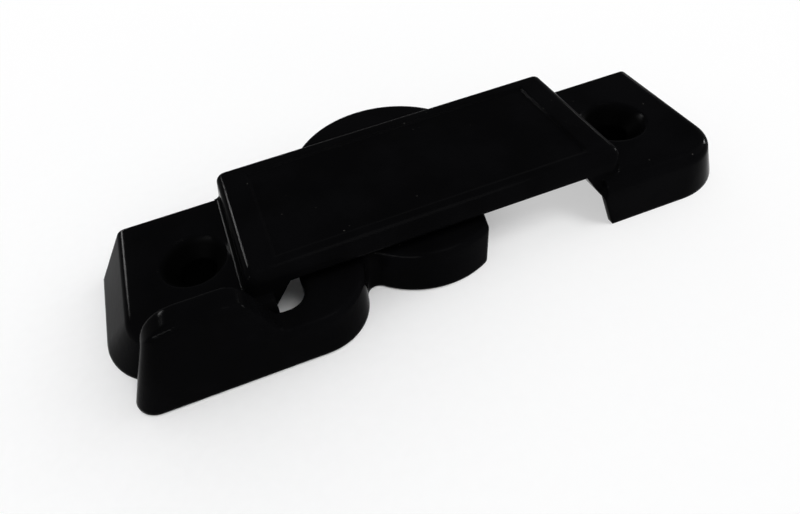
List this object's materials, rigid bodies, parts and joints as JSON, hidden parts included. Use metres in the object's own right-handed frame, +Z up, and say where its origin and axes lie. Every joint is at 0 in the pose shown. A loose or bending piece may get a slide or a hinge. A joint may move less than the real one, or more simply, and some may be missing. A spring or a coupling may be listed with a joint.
{
  "type": "sash lock",
  "caption": "Black enamelled sash lock: cast housing with countersunk end pads and a raised bridge, and a thumb lever with an eccentric cam that turns under the bridge.",
  "frame": {"origin": "on the base plane, midway between the two screw holes, on the lever's pivot axis", "axes": "+X along the lock, away from the thumb tab, +Y towards the keeper, +Z up from the window rail"},
  "size_m": [0.0886, 0.037, 0.014],
  "materials": {
    "housing": "gloss black enamel",
    "cam_lever": "gloss black enamel",
    "disc_spring": "plain spring steel",
    "retaining_washer": "zinc plated",
    "pivot_rivet": "zinc plated"
  },
  "bodies": {
    "frame": {"housing": "housing", "disc_spring": "disc_spring", "retaining_washer": "retaining_washer", "pivot_rivet": "pivot_rivet"},
    "lever": {"cam_lever": "cam_lever"}
  },
  "joints": [
    {"name": "lever_turn", "type": "hinge", "parent": "frame", "child": "lever", "pos_m": [0, 0, 0.004], "axis": [0, 0, 1], "range_deg": [0, 105]}
  ]
}
